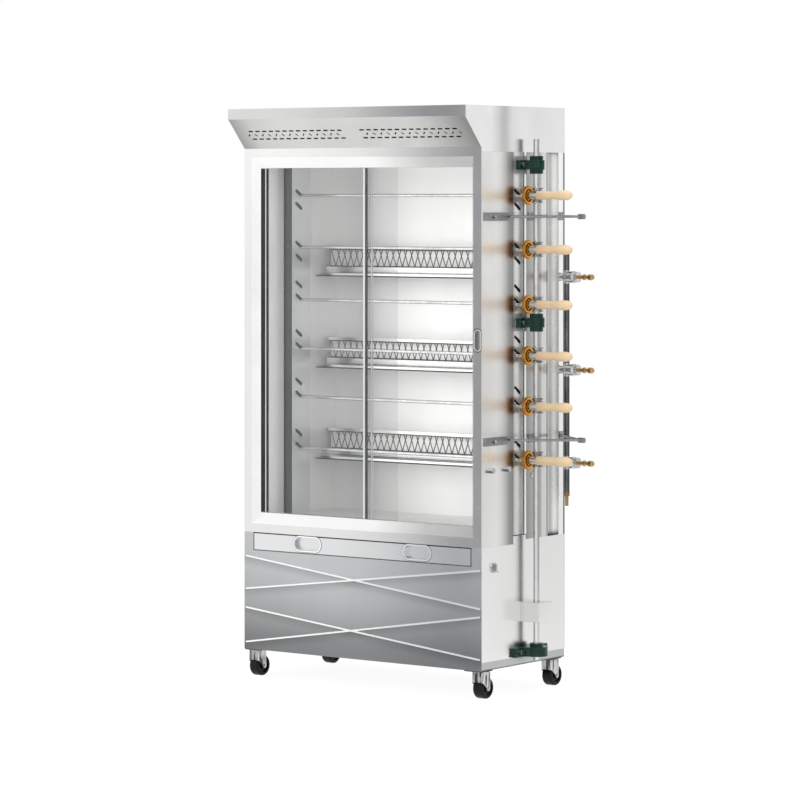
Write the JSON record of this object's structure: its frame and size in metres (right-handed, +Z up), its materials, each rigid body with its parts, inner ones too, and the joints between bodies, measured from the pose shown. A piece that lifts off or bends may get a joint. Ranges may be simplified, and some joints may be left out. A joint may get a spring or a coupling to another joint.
{
  "type": "vertical chicken rotisserie",
  "caption": "Floor-standing gas rotisserie on casters: stacked motor-driven spits with wooden handles, infrared burners, sliding glass doors, vented hood and a grease drawer.",
  "frame": {"origin": "middle of the part's box in plan, on the floor under the casters", "axes": "+Z up, the glass doors face -Y, the spit drive and handles are on the +X side"},
  "size_m": [1.0882, 0.515, 1.75],
  "materials": {
    "stainless": "brushed",
    "liner_steel": "satin",
    "frame_steel": "satin",
    "glass": "clear",
    "bearing_paint": "semi-gloss",
    "gear_brass": "turned",
    "valve_brass": "dull",
    "beech": "varnished",
    "rod_steel": "drawn",
    "shaft_steel": "turned",
    "worm_steel": "machined",
    "gas_pipe_grey": "satin",
    "motor_paint": "satin",
    "gland_plastic": "matte",
    "burner_block": "matte",
    "burner_mesh": "wire",
    "chrome": "polished",
    "caster_zinc": "zinc plated",
    "caster_tyre": "matte"
  },
  "bodies": {
    "cabinet": {"base_frame": "frame_steel", "base_front_panel": "stainless", "base_right_panel": "stainless", "bearing_housings": "bearing_paint", "burner_housings": "burner_block", "burner_meshes": "burner_mesh", "cable_gland": "gland_plastic", "chamber_liner": "liner_steel", "door_frame": "stainless", "drive_side_panel": "stainless", "fasteners": "chrome", "front_frame": "stainless", "gas_manifold": "gas_pipe_grey", "gear_motor": "motor_paint", "gearbox_cover": "stainless", "guard_stays": "chrome", "hood_shell": "stainless", "hood_vent_panel": "stainless", "hose_tail": "valve_brass", "left_side_panel": "stainless", "left_spit_channel": "liner_steel", "rear_cover": "stainless", "right_front_panel": "stainless", "spit_strip": "stainless"},
    "drive_shaft": {"drive_shaft": "shaft_steel", "drive_worms": "worm_steel"},
    "motor_output": {"motor_gear": "worm_steel"},
    "spit_1": {"spit_1_rod": "rod_steel", "spit_1_gear": "gear_brass", "spit_1_handle": "beech"},
    "spit_2": {"spit_2_rod": "rod_steel", "spit_2_gear": "gear_brass", "spit_2_handle": "beech"},
    "spit_3": {"spit_3_rod": "rod_steel", "spit_3_gear": "gear_brass", "spit_3_handle": "beech"},
    "spit_4": {"spit_4_rod": "rod_steel", "spit_4_gear": "gear_brass", "spit_4_handle": "beech"},
    "spit_5": {"spit_5_rod": "rod_steel", "spit_5_gear": "gear_brass", "spit_5_handle": "beech"},
    "spit_6": {"spit_6_rod": "rod_steel", "spit_6_gear": "gear_brass", "spit_6_handle": "beech"},
    "front_door": {"front_door": "glass"},
    "rear_door": {"rear_door": "glass"},
    "grease_drawer": {"grease_drawer": "stainless"},
    "caster_front_left_fork": {"caster_front_left_fork": "caster_zinc"},
    "caster_front_left_wheel": {"caster_front_left_wheel": "caster_tyre"},
    "caster_front_right_fork": {"caster_front_right_fork": "caster_zinc"},
    "caster_front_right_wheel": {"caster_front_right_wheel": "caster_tyre"},
    "caster_rear_left_fork": {"caster_rear_left_fork": "caster_zinc"},
    "caster_rear_left_wheel": {"caster_rear_left_wheel": "caster_tyre"},
    "caster_rear_right_fork": {"caster_rear_right_fork": "caster_zinc"},
    "caster_rear_right_wheel": {"caster_rear_right_wheel": "caster_tyre"},
    "valve_spindle_1": {"valve_spindle_1": "valve_brass"},
    "valve_spindle_2": {"valve_spindle_2": "valve_brass"},
    "valve_spindle_3": {"valve_spindle_3": "valve_brass"},
    "panel_latch": {"panel_latch": "chrome"}
  },
  "joints": [
    {"name": "shaft_spin", "type": "hinge", "parent": "cabinet", "child": "drive_shaft", "pos_m": [0.3861, 0.0629, 0.2425], "axis": [0, 0, 1], "continuous": true},
    {"name": "motor_spin", "type": "hinge", "parent": "cabinet", "child": "motor_output", "pos_m": [0.3861, 0.0629, 0.2425], "axis": [1, 0, 0], "continuous": true},
    {"name": "spit_1_spin", "type": "hinge", "parent": "cabinet", "child": "spit_1", "pos_m": [0.3861, 0.0185, 1.485], "axis": [1, 0, 0], "continuous": true},
    {"name": "spit_2_spin", "type": "hinge", "parent": "cabinet", "child": "spit_2", "pos_m": [0.3861, 0.0185, 1.324], "axis": [1, 0, 0], "continuous": true},
    {"name": "spit_3_spin", "type": "hinge", "parent": "cabinet", "child": "spit_3", "pos_m": [0.3861, 0.0185, 1.16], "axis": [1, 0, 0], "continuous": true},
    {"name": "spit_4_spin", "type": "hinge", "parent": "cabinet", "child": "spit_4", "pos_m": [0.3861, 0.0185, 1.008], "axis": [1, 0, 0], "continuous": true},
    {"name": "spit_5_spin", "type": "hinge", "parent": "cabinet", "child": "spit_5", "pos_m": [0.3861, 0.0185, 0.857], "axis": [1, 0, 0], "continuous": true},
    {"name": "spit_6_spin", "type": "hinge", "parent": "cabinet", "child": "spit_6", "pos_m": [0.3861, 0.0185, 0.697], "axis": [1, 0, 0], "continuous": true},
    {"name": "front_door_slide", "type": "slide", "parent": "cabinet", "child": "front_door", "axis": [1, 0, 0], "range_m": [0, 0.3775]},
    {"name": "rear_door_slide", "type": "slide", "parent": "cabinet", "child": "rear_door", "axis": [1, 0, 0], "range_m": [-0.085, 0.2925]},
    {"name": "drawer_slide", "type": "slide", "parent": "cabinet", "child": "grease_drawer", "axis": [0, -1, 0], "range_m": [0, 0.3]},
    {"name": "caster_front_left_swivel", "type": "hinge", "parent": "cabinet", "child": "caster_front_left_fork", "pos_m": [-0.5191, -0.1495, 0.0817], "axis": [0, 0, 1], "continuous": true},
    {"name": "caster_front_left_roll", "type": "hinge", "parent": "caster_front_left_fork", "child": "caster_front_left_wheel", "pos_m": [-0.5191, -0.1335, 0.0315], "axis": [1, 0, 0], "continuous": true},
    {"name": "caster_front_right_swivel", "type": "hinge", "parent": "cabinet", "child": "caster_front_right_fork", "pos_m": [0.3309, -0.1495, 0.0817], "axis": [0, 0, 1], "continuous": true},
    {"name": "caster_front_right_roll", "type": "hinge", "parent": "caster_front_right_fork", "child": "caster_front_right_wheel", "pos_m": [0.3309, -0.1335, 0.0315], "axis": [1, 0, 0], "continuous": true},
    {"name": "caster_rear_left_swivel", "type": "hinge", "parent": "cabinet", "child": "caster_rear_left_fork", "pos_m": [-0.5191, 0.2095, 0.0817], "axis": [0, 0, 1], "continuous": true},
    {"name": "caster_rear_left_roll", "type": "hinge", "parent": "caster_rear_left_fork", "child": "caster_rear_left_wheel", "pos_m": [-0.5191, 0.2255, 0.0315], "axis": [1, 0, 0], "continuous": true},
    {"name": "caster_rear_right_swivel", "type": "hinge", "parent": "cabinet", "child": "caster_rear_right_fork", "pos_m": [0.3309, 0.2095, 0.0817], "axis": [0, 0, 1], "continuous": true},
    {"name": "caster_rear_right_roll", "type": "hinge", "parent": "caster_rear_right_fork", "child": "caster_rear_right_wheel", "pos_m": [0.3309, 0.2255, 0.0315], "axis": [1, 0, 0], "continuous": true},
    {"name": "valve_1_turn", "type": "hinge", "parent": "cabinet", "child": "valve_spindle_1", "pos_m": [0.4199, 0.2385, 1.238], "axis": [1, 0, 0], "range_deg": [0, 90]},
    {"name": "valve_2_turn", "type": "hinge", "parent": "cabinet", "child": "valve_spindle_2", "pos_m": [0.4199, 0.2385, 0.957], "axis": [1, 0, 0], "range_deg": [0, 90]},
    {"name": "valve_3_turn", "type": "hinge", "parent": "cabinet", "child": "valve_spindle_3", "pos_m": [0.4199, 0.2385, 0.676], "axis": [1, 0, 0], "range_deg": [0, 90]},
    {"name": "latch_turn", "type": "hinge", "parent": "cabinet", "child": "panel_latch", "pos_m": [0.3559, -0.1155, 0.386], "axis": [1, 0, 0], "range_deg": [0, 90]}
  ],
  "couplings": [
    {"joint": "motor_spin", "follows": "shaft_spin", "ratio": -1},
    {"joint": "spit_1_spin", "follows": "shaft_spin", "ratio": -0.041667},
    {"joint": "spit_2_spin", "follows": "shaft_spin", "ratio": -0.041667},
    {"joint": "spit_3_spin", "follows": "shaft_spin", "ratio": -0.041667},
    {"joint": "spit_4_spin", "follows": "shaft_spin", "ratio": -0.041667},
    {"joint": "spit_5_spin", "follows": "shaft_spin", "ratio": -0.041667},
    {"joint": "spit_6_spin", "follows": "shaft_spin", "ratio": -0.041667}
  ]
}
